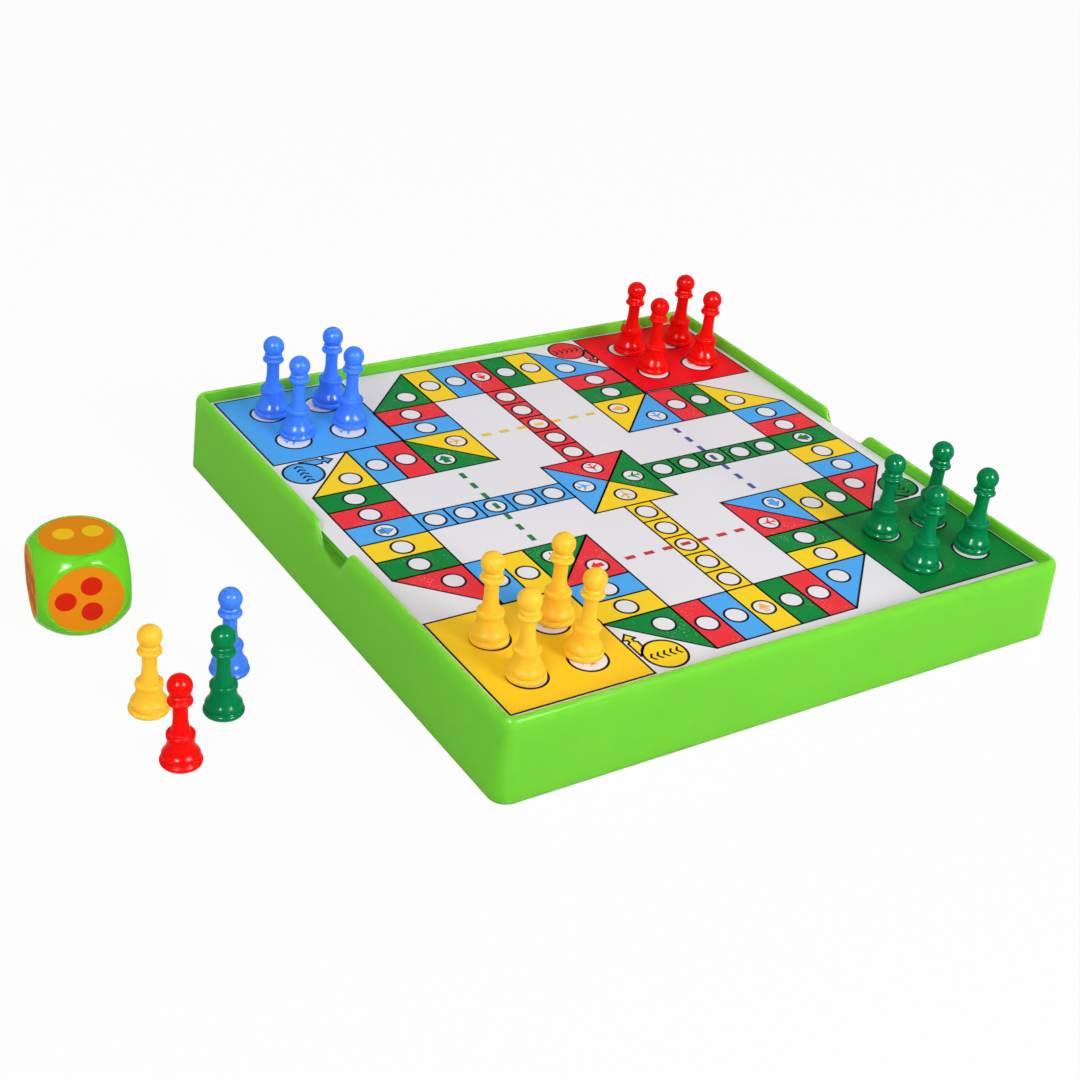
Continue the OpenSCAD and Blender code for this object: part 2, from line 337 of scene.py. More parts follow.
ink_colours = {
    "blue": (0.078, 0.402, 0.885),
    "red": (0.860, 0.036, 0.049),
    "green": (0.003, 0.230, 0.041),
    "yellow": (0.975, 0.650, 0.019),
}
ink_specks = {"blue": 0.35, "red": 0.7, "green": 0.7, "yellow": 0.2}
few_specks = 0.2
inks = {name: ink("ink_" + name, colour, ink_specks[name]) for name, colour in ink_colours.items()}
hangar_colours = dict(
    ink_colours,
    red=(0.895, 0.005, 0.012),
    green=(0.002, 0.212, 0.035),
    yellow=(0.975, 0.600, 0.020),
)
hangar_inks = {name: ink("hangar_" + name, colour, few_specks) for name, colour in hangar_colours.items()}
line_black = ink("ink_black", (0.012, 0.012, 0.016), speck=0.1)
paper_white = ink("paper_white", (0.800, 0.780, 0.815), speck=0.06)
mark_colours = dict(ink_colours, yellow=(0.930, 0.440, 0.050))
mark_inks = {name: ink("mark_" + name, colour, few_specks) for name, colour in mark_colours.items()}
dash_colours = {
    "blue": (0.068, 0.095, 0.340),
    "red": (0.560, 0.040, 0.056),
    "green": (0.018, 0.195, 0.060),
    "yellow": (0.820, 0.560, 0.050),
}
dash_inks = {name: ink("dash_" + name, colour, few_specks) for name, colour in dash_colours.items()}
print("Inks:", [*inks, "black"], "and tints for", ["hangars", "marks", "dashes"])

# %% [markdown]
# ## The casing's path
# The casing is one moulding: walls on a rounded square, open underneath, with a deck inside that carries
# the board. It could be cut from boxes, but a wall that rolls over at the rim and dips through two finger
# notches is simpler as one profile carried round a path. The path below is the line of the rim: straight
# sides, round corners, and on the left and right sides the outline of the notch, walked by its own arcs.

# %% Sizes of the casing, from the frame and from the moulding
casing_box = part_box("casing")
board_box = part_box("board_core")
foot_half = casing_box[1].x
casing_h = casing_box[1].z
deck_top = board_box[0].z
wall_flare = 1.0 * mm
wall_t = 2.6 * mm
corner_r = 4.6 * mm
deck_t = 2.2 * mm
# The rim falls off on its outside in a quarter of an ellipse: so far across and so far down
rim_outer_r = 2.0 * mm
rim_outer_drop = 3.2 * mm
rim_inner_r = 0.4 * mm
# The front side of the rim is thicker than the others by this much, on the inside
front_extra = 0.25 * mm
corner_c = foot_half - wall_flare - corner_r
notch_w = 24.0 * mm
notch_floor_w = 10.6 * mm
notch_floor = casing_h - 9.5 * mm
notch_top_r = 3.6 * mm
notch_floor_r = 7.0 * mm
# Stretch beside a notch that is left to the round of its top corner
notch_clear = 4.0 * mm


def arc(centre, radius, start, end, count):
    """Points of a circle's arc in a plane, from one angle to another in degrees, both ends included."""
    angle = np.radians(np.linspace(start, end, count))
    return np.array(centre) + radius * np.stack((np.cos(angle), np.sin(angle)), -1)


def rounded_corner(before, corner, after, radius, count):
    """Arc that rounds a corner of a line: it touches both legs, and its centre lies on their bisector."""
    to_before = (before - corner) / np.linalg.norm(before - corner)
    to_after = (after - corner) / np.linalg.norm(after - corner)
    half = 0.5 * np.arccos(np.clip(to_before @ to_after, -1, 1))
    bisector = (to_before + to_after) / np.linalg.norm(to_before + to_after)
    centre = corner + bisector * radius / np.sin(half)
    first = corner + to_before * radius / np.tan(half) - centre
    last = corner + to_after * radius / np.tan(half) - centre
    angles = np.unwrap([np.arctan2(first[1], first[0]), np.arctan2(last[1], last[0])])
    return arc(centre, radius, *np.degrees(angles), count)


def notch_line():
    """Rim line of a side with a notch, as (place along the side, height): level, round the top corner, down
    the slope, round the floor's corner, along the floor, and the mirror image of all that."""
    far = np.array([-corner_c, casing_h])
    top = np.array([-notch_w / 2, casing_h])
    low = np.array([-notch_floor_w / 2, notch_floor])
    middle = np.array([0.0, notch_floor])
    run = np.linspace(-corner_c, -notch_w / 2 - notch_clear, 9)
    level = np.stack((run, np.full(len(run), casing_h)), -1)
    upper = rounded_corner(far, top, low, notch_top_r, 11)
    lower = rounded_corner(top, low, middle, notch_floor_r, 15)
    slope = upper[-1] + np.linspace(0, 1, 6)[1:-1, None] * (lower[0] - upper[-1])
    half = np.concatenate((level, upper, slope, lower))
    return np.concatenate((half, [middle], half[::-1] * (-1, 1)))


side_notched = notch_line()
plain_run = np.linspace(-corner_c, corner_c, 15)
side_plain = np.stack((plain_run, np.full(len(plain_run), casing_h)), -1)
print("Stations on a notched side:", len(side_notched))

# %% [markdown]
# ## Stations round the casing
# A station is one place on the path: the point it grows from, the direction that points out of the casing,
# the height of the rim there and the direction that points up out of the rim's edge. On the slope of a
# notch that last direction leans, so the rolled rim keeps its section all the way through the notch.


# %% Stations
def stations():
    """Arrays over the whole path: base point, outward direction, direction along the side, rim height, and
    the rim's own up direction as (along the side, upwards)."""
    base, out, along, height, up = [], [], [], [], []
    for quarter in range(4):
        line = side_plain if quarter % 2 else side_notched
        turn = np.pi / 2 * quarter
        outward = np.array([np.cos(turn), np.sin(turn)])
        forward = np.array([-np.sin(turn), np.cos(turn)])
        slope = np.gradient(line, axis=0)
        slope /= np.linalg.norm(slope, axis=1, keepdims=True)
        base.append(outward * corner_c + line[:, :1] * forward)
        out.append(np.broadcast_to(outward, line.shape))
        along.append(np.broadcast_to(forward, line.shape))
        height.append(line[:, 1])
        up.append(np.stack((-slope[:, 1], slope[:, 0]), -1))
        swing = turn + np.radians(np.linspace(0, 90, 15)[1:-1])
        fan = np.stack((np.cos(swing), np.sin(swing)), -1)
        base.append(np.broadcast_to((outward + forward) * corner_c, fan.shape))
        out.append(fan)
        along.append(np.stack((-fan[:, 1], fan[:, 0]), -1))
        height.append(np.full(len(fan), casing_h))
        up.append(np.broadcast_to((0.0, 1.0), fan.shape))
    return [np.concatenate(block) for block in (base, out, along, height, up)]


base, out, along, rim_height, rim_up = stations()
print("Stations round the casing:", len(base))

# %% [markdown]
# ## The casing's profile
# The profile starts in the middle of the underside, runs out to the wall, down to the foot, up the outside,
# over the rim, down into the recess and in along the deck to the middle again. The finger notches come with
# a scoop: behind the notch the deck sinks in an arc under the edge of the board, and the underside sinks
# with it.


# %% Casing surface
scoop_reach = 7.0 * mm
scoop_drop = deck_top - notch_floor
scoop_r = (scoop_reach ** 2 + scoop_drop ** 2) / (2 * scoop_drop)
scoop_t = 1.8 * mm
foot_r = 0.5 * mm
draft = 0.15 * mm
inner = corner_r - wall_t
deck_depths = np.array([0.0, 0.5, 1.2, 2.0, 3.0, 4.0, 5.0, 6.0, 7.0, 30.0, 70.0]) * mm
# Shares of the way along a wall that get a ring: close to its edges, so that it shades flat between them
inside_shares = (0.03, 0.5, 0.97, 1.0)
outside_shares = (0.02, 0.5, 0.95)
recess_shares = (0.08, 0.5, 0.92)


def ring_at(offset, height, shift=0.0):
    """Ring of points at an offset outwards from the path's base, at the given heights, moved along the
    side."""
    flat = base + out * np.broadcast_to(offset, rim_height.shape)[:, None]
    flat = flat + along * np.broadcast_to(shift, rim_height.shape)[:, None]
    return np.column_stack((flat, np.broadcast_to(height, rim_height.shape)))


def rim_ring(offset, depth):
    """Ring that follows the rim at a depth below it, measured against the rim's own up direction."""
    return ring_at(offset, rim_height - depth * rim_up[:, 1], -depth * rim_up[:, 0])


def deck_height(depth):
    """Height of the deck a depth in from the recess wall: level, but sunk behind a notch, where it follows
    the notch's own edge until the scoop's arc rises above it."""
    edge = np.minimum(deck_top, rim_height - rim_inner_r * rim_up[:, 1])
    floor = notch_floor - rim_inner_r + scoop_r - np.sqrt(scoop_r ** 2 - min(depth, scoop_reach) ** 2)
    return np.minimum(deck_top, np.maximum(edge, floor))


def deck_ring(depth, underside):
    """Ring of the deck or of its underside, a depth in from the recess wall. The whole outline shrinks
    towards the middle."""
    edge = rim_ring(inner - draft, rim_inner_r)
    share = 1 - depth / (corner_c + inner)
    height = deck_height(depth)
    if underside:
        height = np.minimum(deck_top - deck_t, height - scoop_t)
    return np.column_stack((edge[:, :2] * share, height))


def casing_rings():
    """All rings of the casing from the middle of the underside round to the middle of the deck."""
    under = [deck_ring(depth, True) for depth in deck_depths[::-1]]
    foot_in = ring_at(inner + wall_flare, foot_r)
    inside = [under[-1] + (foot_in - under[-1]) * share for share in inside_shares]
    foot_round_in = arc((foot_r, foot_r), foot_r, 180, 270, 4)[1:]
    foot_round_out = arc((0, foot_r), foot_r, -90, 0, 5)
    foot = [ring_at(inner + wall_flare + x, z) for x, z in foot_round_in]
    foot += [ring_at(corner_r + wall_flare - foot_r + x, z) for x, z in foot_round_out]
    rolled = arc((0, 1), 1, 0, -90, 15) * (rim_outer_r, rim_outer_drop) + (corner_r - rim_outer_r, 0)
    rolled_in = arc((inner + rim_inner_r, rim_inner_r), rim_inner_r, -90, -180, 7)
    rim = [rim_ring(offset, depth) for offset, depth in rolled]
    thicker = front_extra * np.clip(-out[:, 1], 0, 1)
    rim += [rim_ring(offset - thicker, depth) for offset, depth in rolled_in]
    outside = []
    for share in outside_shares:
        height = foot[-1][:, 2] + (rim[0][:, 2] - foot[-1][:, 2]) * share
        lean = wall_flare * (1 - share)
        outside.append(np.column_stack((rim[0][:, :2] + out * lean, height)))
    deck = [deck_ring(depth, False) for depth in deck_depths]
    recess = [rim[-1] + (deck[0] - rim[-1]) * share for share in recess_shares]
    return np.stack(under + inside + foot + outside + rim + recess + deck)


casing_skin = loft(casing_rings(), (0, 0, deck_top - deck_t), (0, 0, deck_top))
print("Casing points:", len(casing_skin[0]))

# %% [markdown]
# ## Ribs under the deck
# A thin deck this wide would drum and sag, so the moulding has two crossing ribs that reach down to the
# table. Each is a small rectangle carried along a line. One is lower at its ends, where it passes under the
# scoops.


# %% Ribs and the finished casing
rib_t = 2.0 * mm
rib_sink = 0.6 * mm
rib_slope = 2.0 * mm
under_deck = deck_top - deck_t + rib_sink
under_scoop = notch_floor - rim_inner_r - scoop_t + rib_sink


def upright_turn(angle):
    """Matrix that turns rows of points about the upright axis, counter-clockwise seen from above."""
    cosine, sine = np.cos(angle), np.sin(angle)
    return np.array([[cosine, sine, 0], [-sine, cosine, 0], [0, 0, 1]])


def rib(turn, end_height):
    """Rectangle carried along a straight line: full height in the middle, end_height under the scoops."""
    reach = corner_c + inner + 0.5 * wall_t
    scoop_edge = corner_c + inner - scoop_reach
    half_run = np.array([scoop_edge - rib_slope, scoop_edge, reach])
    run = np.concatenate((-half_run[::-1], half_run))
    half_top = np.array([under_deck, end_height, end_height])
    top = np.concatenate((half_top[::-1], half_top))
    side = np.array([-1, 1, 1, -1]) * rib_t / 2
    height = np.stack((0 * top, 0 * top, top, top), -1)
    across, length = np.broadcast_arrays(side, run[:, None])
    rings = np.stack((length, across, height), -1)
    ends = np.array([(run[0], 0, end_height / 2), (run[-1], 0, end_height / 2)])
    spin = upright_turn(turn)
    return loft(rings @ spin, *(ends @ spin))


ribs = [rib(0.0, under_scoop), rib(np.pi / 2, under_deck)]
casing = add_piece("casing_moulding", [casing_skin, *ribs], casing_green, "casing")
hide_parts("casing")
print("Casing faces:", len(casing.data.polygons))

# %% [markdown]
# ## Board and sheet
# The board is a flat moulded plate with the printed sheet stuck on it. The plate keeps its CAD solid and
# only gets a finish. The sheet is made again a little thinner, because the inks lie on it as films of their
# own, one over the other, and the topmost of them has to end where the CAD sheet does: that is what the
# pawns stand on.

# %% Sheet of paper
film_t = 0.02 * mm
ink_layers = ("colour", "line", "disc", "edge", "mark")
print_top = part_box("printed_sheet")[1].z
sheet_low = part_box("printed_sheet")[0].z
board_half = board_box[1].x
board_corner_r = 3.0 * mm
layer_top = {name: print_top - film_t * i for i, name in enumerate(ink_layers[::-1])}


def thicken(piece, thickness):
    """Flat piece made solid: it keeps its outer side and grows inwards by the thickness."""
    piece.data.shade_flat()
    solid = piece.modifiers.new("film", "SOLIDIFY")
    solid.thickness = thickness
    solid.offset = -1


def repaint(node, material):
    """CAD solid that stays as it is and only gets another finish."""
    mesh = frame["nodes"][node].data
    mesh.materials.clear()
    mesh.materials.append(material)


def film_piece(name, patches, top, thickness, material):
    """Flat patches (points in the board's plane, face index array) as one piece, thickened downwards."""
    parts = [(np.column_stack((points, np.full(len(points), top))), [faces]) for points, faces in patches]
    piece = add_piece(name, parts, material, "playing_board")
    thicken(piece, thickness)
    return piece


def area_patch(corners):
    """Flat patch: one face round its corners, turned to face up whichever way they run."""
    corners = np.asarray(corners, float)
    ahead = np.roll(corners, -1, axis=0)
    doubled = np.sum(corners[:, 0] * ahead[:, 1] - ahead[:, 0] * corners[:, 1])
    return (corners if doubled > 0 else corners[::-1]), np.arange(len(corners))[None, :]


def rounded_outline(half, radius, count):
    """Outline of a square with round corners: a quarter circle about the middle of each corner."""
    signs = ((1, 1), (-1, 1), (-1, -1), (1, -1))
    starts = (0, 90, 180, 270)
    middles = np.array(signs) * (half - radius)
    return np.concatenate([arc(m, radius, a, a + 90, count) for m, a in zip(middles, starts)])


sheet_top = print_top - film_t * len(ink_layers)
outline = area_patch(rounded_outline(board_half, board_corner_r, 9))
sheet = film_piece("paper_sheet", [outline], sheet_top, sheet_top - sheet_low, paper_white)
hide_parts("printed_sheet")
repaint("board_core", board_green)
print("Sheet top at", round(sheet_top / mm, 2), "mm")

# %% [markdown]
# ## The print
# The board of this game is the same quarter drawn four times. Thirteen cells lead round each quarter: two
# beside the arm, a corner, five across its end, a corner, two beside it, and two halves of a square. Along
# the whole track of fifty-two the colours simply repeat in fours. Each quarter also has a home column, a
# hangar and a start. So the print is worked out for one quarter in cells of the track, and turned.

# %% One quarter of the track
cell = 10.8 * mm
print_centre = np.array([0.47, 2.20]) * mm
cycle = ("blue", "red", "green", "yellow")
# Lengths in cells, from the middle of the print
arm_half = 2.5
side_far = 4.74
arm_end = 8.98
centre_half = 1.545
column_half = 0.4775
end_near = arm_end - (side_far - arm_half)


def rectangle(x0, y0, x1, y1):
    """Corners of an upright rectangle."""
    return np.array([(x0, y0), (x1, y0), (x1, y1), (x0, y1)], float)


def track_quarter():
    """The thirteen cells of the arm that points up, clockwise: a list of corners."""
    a, s, n, e = arm_half, side_far, end_near, arm_end
    cells = [rectangle(-s, n - 2, -a, n - 1), rectangle(-s, n - 1, -a, n)]
    cells.append(np.array([(-a, n), (-s, n), (-a, e)]))
    cells += [rectangle(x, n, x + 1, e) for x in np.arange(-a, a)]
    cells.append(np.array([(a, n), (s, n), (a, e)]))
    cells += [rectangle(a, n - 1, s, n), rectangle(a, n - 2, s, n - 1)]
    cells.append(np.array([(a, s), (a, a), (s, s)]))
    cells.append(np.array([(s, a), (a, a), (s, s)]))
    return cells


def middle_of(corners):
    """Place of a cell's disc: the middle of a rectangle, or the inscribed circle's centre of a right
    triangle whose first corner is the square one."""
    if len(corners) == 4:
        return corners.mean(0)
    leg = np.linalg.norm(corners[1] - corners[0])
    inward = (corners[1] - corners[0]) / leg + (corners[2] - corners[0]) / leg
    return corners[0] + inward * leg * (1 - np.sqrt(0.5))


def quarter_turn(points, quarter):
    """Points turned clockwise by so many right angles about the middle of the print."""
    turn = np.pi / 2 * quarter
    spin = np.array([[np.cos(turn), -np.sin(turn)], [np.sin(turn), np.cos(turn)]])
    return np.asarray(points, float) @ spin


print("Cells in a quarter:", len(track_quarter()))

# %% [markdown]
# ## Shapes of ink
# Everything on the sheet is one of a few flat shapes: a filled outline, a ring, a line, and small marks
# made of filled outlines, such as an arrow or an aeroplane seen from above. Marks are drawn pointing up at
# the size of a cell and then turned, so one drawing serves every place.

# %% Shapes of ink, in cells
line_w = 0.064
ring_w = 0.074
edge_w = 0.04
circle_points = 48


def circle(centre, radius):
    """Points of a full circle."""
    return arc(centre, radius, 0, 360, circle_points + 1)[:-1]


def ring_patch(centre, radius, width):
    """Ring of a line's width: two circles of points joined by quads."""
    here = np.arange(circle_points)
    ahead = (here + 1) % circle_points
    points = np.concatenate((circle(centre, radius + width / 2), circle(centre, radius - width / 2)))
    return points, np.stack((here, ahead, ahead + circle_points, here + circle_points), -1)


def line_patch(start, end, width):
    """Line of ink: a rectangle along a segment, half a width longer at each end."""
    start, end = np.asarray(start, float), np.asarray(end, float)
    forward = (end - start) / np.linalg.norm(end - start) * width / 2
    aside = np.array([-forward[1], forward[0]])
    low, high = start - forward, end + forward
    return area_patch([low - aside, high - aside, high + aside, low + aside])


def outline_patches(corners, width):
    """Lines along every side of a closed outline."""
    return [line_patch(a, b, width) for a, b in zip(corners, np.roll(corners, -1, axis=0))]


def mirrored(corners):
    """An outline and its mirror image across the upright axis."""
    return [np.array(corners), np.array(corners) * (-1, 1)]


aeroplane = [
    np.array([(0, 0.27), (0.027, 0.17), (0.027, -0.2), (0, -0.26), (-0.027, -0.2), (-0.027, 0.17)]),
    *mirrored([(0.02, 0.075), (0.23, -0.1), (0.23, -0.145), (0.02, -0.035)]),
    *mirrored([(0.01, -0.17), (0.105, -0.235), (0.105, -0.265), (0.01, -0.22)]),
]
block_arrow = [
    np.array([(0, 0.22), (0.2, 0), (0.095, 0), (0.095, -0.2), (-0.095, -0.2), (-0.095, 0), (-0.2, 0)]),
]
barred_arrow = [
    np.array([(0, 0.23), (0.19, -0.05), (-0.19, -0.05)]),
    rectangle(-0.1, -0.13, 0.1, -0.08),
    rectangle(-0.1, -0.21, 0.1, -0.16),
]


def mark_at(shapes, place, direction, size=1.0):
    """A mark's outlines, turned so that up points along the direction, and moved to their place."""
    up = np.asarray(direction, float)
    axes = np.array([(up[1], -up[0]), up])
    return [np.asarray(shape) * size @ axes + place for shape in shapes]


print("Outlines in the aeroplane mark:", len(aeroplane))

# %% [markdown]
# ## Printing the four quarters
# The press lays colour first, then black lines, then the white discs, then the dark edges of some marks,
# and last the small marks and the dashed lines. Each step is a film of its own, so here every shape is put
# on the list of its ink, and at the end one piece is made per ink. Each round start carries a row of plain
# chevrons, and an arrow beside it leads on to the track.

# %% Sizes and places on the print, in cells
disc_r = 0.34
centre_disc = np.array([0.0, 0.92])
hangar_disc_r = 0.555
hangar_disc_places = np.array([(x, y) for x in (6.05, 7.95) for y in (6.05, 7.95)])
hangar_mark_size = 1.2
# Hangar of each quarter as printed: its near edges in x and y, its far edges, and the shift of its discs
hangar_edges = [
    (4.68, 4.82, 9.276, 9.217),
    (4.68, 4.81, 9.14, 9.40),
    (4.75, 4.75, 9.245, 9.25),
    (4.745, 4.70, 9.205, 9.205),
]
hangar_shift = np.array([(-0.07, -0.02), (-0.09, 0.07), (0.0, 0.02), (-0.03, -0.03)])
start_place = np.array([3.94, 8.59])
start_shift = np.array([(0.01, -0.01), (-0.07, 0.045), (0.03, 0.015), (0.03, -0.02)])
start_r = 0.635
start_arrow = np.array([
    (4.455, 7.37), (4.67, 7.62), (4.53, 7.65), (4.53, 7.74), (4.615, 7.81), (4.615, 8.42),
    (4.306, 8.08), (4.306, 7.81), (4.385, 7.74), (4.385, 7.65), (4.262, 7.62),
])
chevron = np.array([(-0.1, -0.15), (0.0, 0.0), (-0.1, 0.15), (-0.02, 0.15), (0.08, 0.0), (-0.02, -0.15)])
chevron_pitch = 0.21
chevron_places = chevron_pitch * np.arange(-2, 3)
dash_pitch = 0.67
dash_places = dash_pitch * np.arange(-3, 4)
dash_size = np.array([0.335, 0.16])
flight_y = 4.1
# Cells of a quarter that carry a mark: the head of the home column and the two halves of the square
column_head, first_half, second_half = 5, 11, 12
column_cells = 5
print("Dashes:", 4 * len(dash_places), "chevrons:", 4 * len(chevron_places))

# %% Lists of shapes by ink
colour_shapes = {name: [] for name in cycle}
hangar_shapes = {name: [] for name in cycle}
mark_shapes = {name: [] for name in cycle}
dash_shapes = {name: [] for name in cycle}
line_shapes = []
disc_shapes = []
edge_shapes = []


def white_disc(place, radius):
    """White disc with a black ring on its edge."""
    disc_shapes.append(area_patch(circle(place, radius - ring_w / 2)))
    line_shapes.append(ring_patch(place, radius, ring_w))


def print_cell(corners, colour):
    """Coloured cell with its outline."""
    colour_shapes[colour].append(area_patch(corners))
    line_shapes.extend(outline_patches(corners, line_w))


def print_mark(shapes, place, direction, quarter, colour, size=1.0):
    """Small mark drawn in the upper quarter's own directions and turned with it. Blue and green arrows show
    a thin dark edge."""
    for shape in mark_at(shapes, place, direction, size):
        mark_shapes[colour].append(area_patch(quarter_turn(shape, quarter)))
        if shapes is not aeroplane and colour in ("blue", "green"):
            edge_shapes.extend(outline_patches(quarter_turn(shape, quarter), edge_w))


print("Layers of ink:", ink_layers)

# %% Collect the shapes of the four quarters
for quarter in range(4):
    track = track_quarter()
    track_colours = [cycle[(len(track) * quarter + i) % len(cycle)] for i in range(len(track))]
    home = track_colours[column_head]
    flight = track_colours[first_half]
    hangar = quarter_turn(rectangle(*hangar_edges[quarter]), quarter)
    hangar_shapes[home].append(area_patch(hangar))
    line_shapes.extend(outline_patches(hangar, line_w))
    centre_cell = [(0, 0), (centre_half, centre_half), (-centre_half, centre_half)]
    print_cell(quarter_turn(centre_cell, quarter), home)
    for corners, colour in zip(track, track_colours):
        print_cell(quarter_turn(corners, quarter), colour)
        white_disc(quarter_turn(middle_of(corners), quarter), disc_r)
    column_edges = np.linspace(centre_half, end_near, column_cells + 1)
    for low, high in zip(column_edges[:-1], column_edges[1:]):
        print_cell(quarter_turn(rectangle(-column_half, low, column_half, high), quarter), home)
        white_disc(quarter_turn((0, (low + high) / 2), quarter), disc_r)
    white_disc(quarter_turn(centre_disc, quarter), disc_r)
    print_mark(aeroplane, centre_disc, (0, -1), quarter, home)
    print_mark(barred_arrow, middle_of(track[column_head]), (0, -1), quarter, home)
    print_mark(block_arrow, middle_of(track[first_half]), (1, 0), quarter, flight)
    print_mark(aeroplane, middle_of(track[second_half]), (0, -1), quarter, track_colours[second_half])
    for place in hangar_disc_places + hangar_shift[quarter]:
        white_disc(quarter_turn(place, quarter), hangar_disc_r)
        print_mark(aeroplane, place, (0, -1), quarter, home, hangar_mark_size)
    for place in dash_places:
        dash = np.array([place, flight_y])
        corners = rectangle(*(dash - dash_size / 2), *(dash + dash_size / 2))
        dash_shapes[flight].append(area_patch(quarter_turn(corners, quarter)))
    start = start_place + start_shift[quarter]
    colour_shapes[home].append(area_patch(circle(quarter_turn(start, quarter), start_r)))
    line_shapes.append(ring_patch(quarter_turn(start, quarter), start_r, ring_w))
    print_cell(quarter_turn(start_arrow + start_shift[quarter], quarter), home)
    for place in chevron_places:
        line_shapes.append(area_patch(quarter_turn(start + (place, 0) + chevron, quarter)))
print("Lines and rings:", len(line_shapes), "discs:", len(disc_shapes))

# %% Lay the inks on the sheet
films = []


def print_ink(name, patches, layer, material):
    """One film of ink: patches moved from cells to metres on the board, at the level of their layer."""
    placed = [(points * cell + print_centre, faces) for points, faces in patches]
    films.append(film_piece(name, placed, layer_top[layer], film_t, material))


for name in cycle:
    print_ink("print_" + name, colour_shapes[name], "colour", inks[name])
    print_ink("hangar_" + name, hangar_shapes[name], "colour", hangar_inks[name])
    print_ink("marks_" + name, mark_shapes[name], "mark", mark_inks[name])
    print_ink("dashes_" + name, dash_shapes[name], "mark", dash_inks[name])
print_ink("print_lines", line_shapes, "line", line_black)
print_ink("print_discs", disc_shapes, "disc", paper_white)
print_ink("mark_edges", edge_shapes, "edge", dash_inks["blue"])
print("Films of ink:", len(films))

# %% [markdown]
# ## Pawns
# A pawn is turned on a lathe in the pattern shop and then moulded by the thousand, so it is a surface of
# revolution: ring, bell, waist, band, stem, collar, bead and ball. Its outline is a chain of short arcs and
# lines. Moulded plastic has no sharp edges, so the chain is sampled evenly and smoothed by a short moving
# average. Two hair-fine ridges run up the sides where the halves of the mould meet.

# %% Outline of a pawn
# Sizes in millimetres
pawn_h = 29.3
ring_r, ring_round = 6.05, 0.95
bell_r, bell_z, bell_round, flank_round = 5.5, 2.9, 1.8, 6.0
waist_r = 3.8
band_r, band_low, band_high, band_round = 4.1, 9.05, 9.75, 0.7
stem_foot_r, stem_r, stem_z = 2.9, 2.1, 16.0
collar_r, collar_z, collar_round = 3.6, 20.9, 0.7
bead_r, bead_z, bead_round = 3.0, 22.5, 0.75
ball_r = 3.55
ball_z = pawn_h - ball_r
# Angles at which the ring ends in a groove, the bell begins, the bead begins and ends, and the ball begins
ring_to, bell_from, bead_from, bead_to, ball_from = 84, -34, -54, 72, -45.5


def circles_meet(first, first_r, second, second_r):
    """Point at given distances from two points, on the side away from the axis."""
    chord = second - first
    length = np.linalg.norm(chord)
    ahead = (first_r ** 2 - second_r ** 2 + length ** 2) / (2 * length)
    aside = np.sqrt(first_r ** 2 - ahead ** 2)
    return first + (chord * ahead + np.array([chord[1], -chord[0]]) * aside) / length


def hollow_arc(centre, radius, start, end, count):
    """Arc about a centre outside the pawn, from one point to another."""
    angles = [np.degrees(np.arctan2(*(point - centre)[::-1])) % 360 for point in (start, end)]
    return arc(centre, radius, *angles, count)


def pawn_outline():
    """Half outline of a pawn in millimetres as (radius, height), from the axis underneath to the top of the
    ball: a chain of arcs. The bell's hollow flank touches its shoulder and ends at the waist."""
    shoulder = np.array([bell_r - bell_round, bell_z])
    waist = np.array([waist_r, band_low - band_round])
    flank = circles_meet(shoulder, bell_round + flank_round, waist, flank_round)
    touch = shoulder + (flank - shoulder) * bell_round / (bell_round + flank_round)
    tilt = np.degrees(np.arctan2(*(flank - shoulder)[::-1]))
    stem_foot = np.array([stem_foot_r, band_high + band_round])
    stem_top = np.array([stem_r, stem_z])
    flare_out, flare_rise = stem_foot_r - stem_r, stem_z - stem_foot[1]
    flare_round = (flare_out ** 2 + flare_rise ** 2) / (2 * flare_out)
    flare = stem_top + (flare_round, 0)
    band_from = -np.degrees(np.arccos((waist_r - band_r + band_round) / band_round))
    return np.concatenate((
        [(0, 0)],
        arc((ring_r - ring_round, ring_round), ring_round, -90, ring_to, 22),
        arc(shoulder, bell_round, bell_from, tilt, 16),
        hollow_arc(flank, flank_round, touch, waist, 24),
        arc((band_r - band_round, band_low), band_round, band_from, 0, 8),
        arc((band_r - band_round, band_high), band_round, 0, 90, 10),
        hollow_arc(flare, flare_round, stem_foot, stem_top, 24),
        [(stem_r, collar_z - collar_round)],
        arc((collar_r - collar_round, collar_z), collar_round, -90, 90, 18),
        arc((bead_r - bead_round, bead_z), bead_round, bead_from, bead_to, 14),
        arc((0, ball_z), ball_r, ball_from, 90, 48),
    ))


def resample(chain, count):
    """Points spaced evenly along a chain of points."""
    length = np.concatenate(([0], np.cumsum(np.linalg.norm(np.diff(chain, axis=0), axis=1))))
    places = np.linspace(0, length[-1], count)
    return np.stack([np.interp(places, length, chain[:, i]) for i in (0, 1)], -1)


samples = 520
blur = 3
rows_kept = 3
fine = resample(pawn_outline(), samples)
soft = np.stack([np.convolve(fine[:, i], np.ones(blur) / blur, "valid") for i in (0, 1)], -1)
profile = soft[::rows_kept]
print("Rows of a pawn:", len(profile))

# %% [markdown]
# ## Turning twenty pawns
# Each pawn is the same outline spun about its own place, which comes from its CAD solid. Real pawns are put
# down any way round, so each is turned by its own angle, and the seam of the mould shows in another place.
# A slim pawn also warps a little as it cools, so most of them lean, and a few by a millimetre or two at the
# ball.

# %% Make the pawns
pawn_columns = 64
seam_height = 0.035
seam_width = np.radians(3.0)
golden_angle = np.pi * (3 - np.sqrt(5))


def pawn_angles():
    """Angles round a pawn: even steps, with four more beside each of the two seams."""
    even = np.linspace(0, 2 * np.pi, pawn_columns, endpoint=False)
    beside = np.array([-1.0, -0.5, 0.5, 1.0]) * seam_width
    return np.sort(np.concatenate((even, beside % (2 * np.pi), beside + np.pi)))


